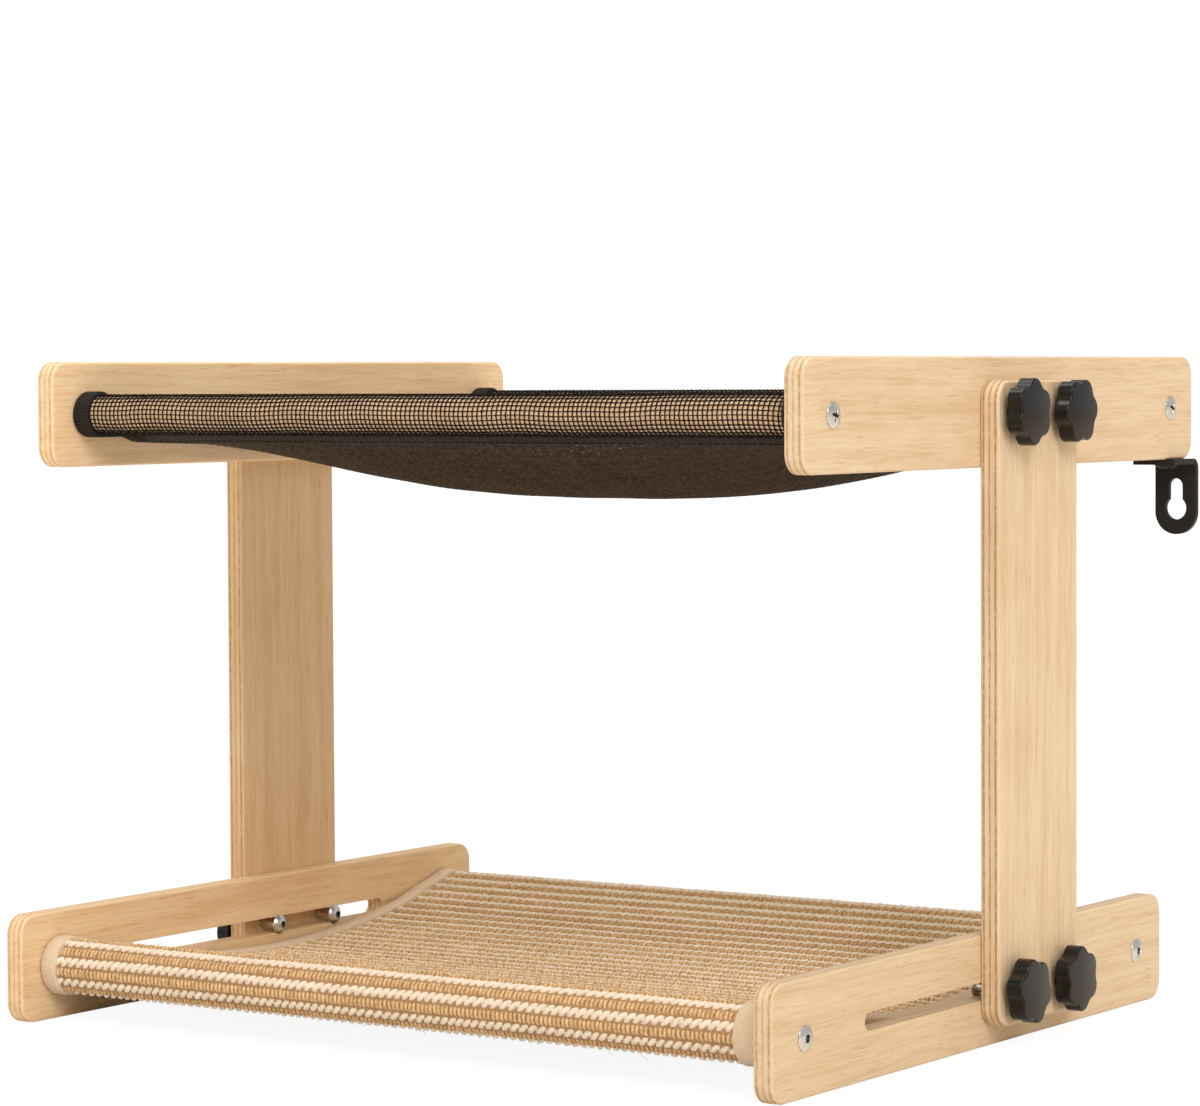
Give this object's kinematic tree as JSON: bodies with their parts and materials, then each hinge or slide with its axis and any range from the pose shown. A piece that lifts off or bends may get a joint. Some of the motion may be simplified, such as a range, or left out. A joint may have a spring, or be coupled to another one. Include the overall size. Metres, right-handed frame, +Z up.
{
  "type": "window cat hammock",
  "caption": "Two-tier cat bed for a window sill: a sagging mesh hammock over a woven mat, on plywood rails; the tiers slide past each other and star knobs clamp them.",
  "frame": {"origin": "on the floor under the middle of the whole outline", "axes": "+X across the bed to the right seen from the front, +Y towards the wall, +Z up"},
  "size_m": [0.4294, 0.365, 0.287],
  "materials": {
    "birch_ply": "clear-lacquered birch plywood, edges showing five plies",
    "rod_wood": "plain turned hardwood",
    "zinc_steel": "bright zinc plate",
    "black_plastic": "moulded, glossy, lightly crowned",
    "brass": "turned brass",
    "black_mesh": "open woven mesh, about 2 mm pitch",
    "black_tape": "ribbed woven binding tape",
    "woven_sisal": "alternate tan loop rows and cream cord rows",
    "beige_tape": "plain cotton binding tape",
    "black_steel": "black powder coat"
  },
  "bodies": {
    "lower_frame": {"lower_rail_right": "birch_ply", "lower_rail_left": "birch_ply", "lower_front_rod": "rod_wood", "lower_rear_rod": "rod_wood", "lower_rod_screws": "zinc_steel", "sisal_mat": "woven_sisal", "mat_edge_tape_right": "beige_tape", "mat_edge_tape_left": "beige_tape"},
    "upper_frame": {"upper_rail_right": "birch_ply", "upper_rail_left": "birch_ply", "post_right": "birch_ply", "post_left": "birch_ply", "upper_front_rod": "rod_wood", "upper_rear_rod": "rod_wood", "upper_rod_screws": "zinc_steel", "upper_post_bolts": "zinc_steel", "lower_post_bolts": "zinc_steel", "mesh_hammock": "black_mesh", "hammock_edge_tape_right": "black_tape", "hammock_edge_tape_left": "black_tape", "wall_bracket": "black_steel", "bracket_screws": "black_steel"},
    "upper_right_front_knob": {"knob_upper_right_front": "black_plastic", "insert_upper_right_front": "brass"},
    "upper_right_rear_knob": {"knob_upper_right_rear": "black_plastic", "insert_upper_right_rear": "brass"},
    "lower_right_front_knob": {"knob_lower_right_front": "black_plastic", "insert_lower_right_front": "brass"},
    "lower_right_rear_knob": {"knob_lower_right_rear": "black_plastic", "insert_lower_right_rear": "brass"},
    "upper_left_front_knob": {"knob_upper_left_front": "black_plastic", "insert_upper_left_front": "brass"},
    "upper_left_rear_knob": {"knob_upper_left_rear": "black_plastic", "insert_upper_left_rear": "brass"},
    "lower_left_front_knob": {"knob_lower_left_front": "black_plastic", "insert_lower_left_front": "brass"},
    "lower_left_rear_knob": {"knob_lower_left_rear": "black_plastic", "insert_lower_left_rear": "brass"}
  },
  "joints": [
    {"name": "tier_slide", "type": "slide", "parent": "lower_frame", "child": "upper_frame", "axis": [0, 1, 0], "range_m": [-0.1062, 0.0362]},
    {"name": "upper_right_front_turn", "type": "hinge", "parent": "upper_frame", "child": "upper_right_front_knob", "pos_m": [0.208, -0.0035, 0.264], "axis": [1, 0, 0], "range_deg": [0, 450]},
    {"name": "upper_right_rear_turn", "type": "hinge", "parent": "upper_frame", "child": "upper_right_rear_knob", "pos_m": [0.208, 0.0385, 0.264], "axis": [1, 0, 0], "range_deg": [0, 450]},
    {"name": "lower_right_front_turn", "type": "hinge", "parent": "upper_frame", "child": "lower_right_front_knob", "pos_m": [0.208, -0.0035, 0.0235], "axis": [1, 0, 0], "range_deg": [0, 450]},
    {"name": "lower_right_rear_turn", "type": "hinge", "parent": "upper_frame", "child": "lower_right_rear_knob", "pos_m": [0.208, 0.0385, 0.0235], "axis": [1, 0, 0], "range_deg": [0, 450]},
    {"name": "upper_left_front_turn", "type": "hinge", "parent": "upper_frame", "child": "upper_left_front_knob", "pos_m": [-0.208, -0.0035, 0.264], "axis": [-1, 0, 0], "range_deg": [0, 450]},
    {"name": "upper_left_rear_turn", "type": "hinge", "parent": "upper_frame", "child": "upper_left_rear_knob", "pos_m": [-0.208, 0.0385, 0.264], "axis": [-1, 0, 0], "range_deg": [0, 450]},
    {"name": "lower_left_front_turn", "type": "hinge", "parent": "upper_frame", "child": "lower_left_front_knob", "pos_m": [-0.208, -0.0035, 0.0235], "axis": [-1, 0, 0], "range_deg": [0, 450]},
    {"name": "lower_left_rear_turn", "type": "hinge", "parent": "upper_frame", "child": "lower_left_rear_knob", "pos_m": [-0.208, 0.0385, 0.0235], "axis": [-1, 0, 0], "range_deg": [0, 450]}
  ]
}
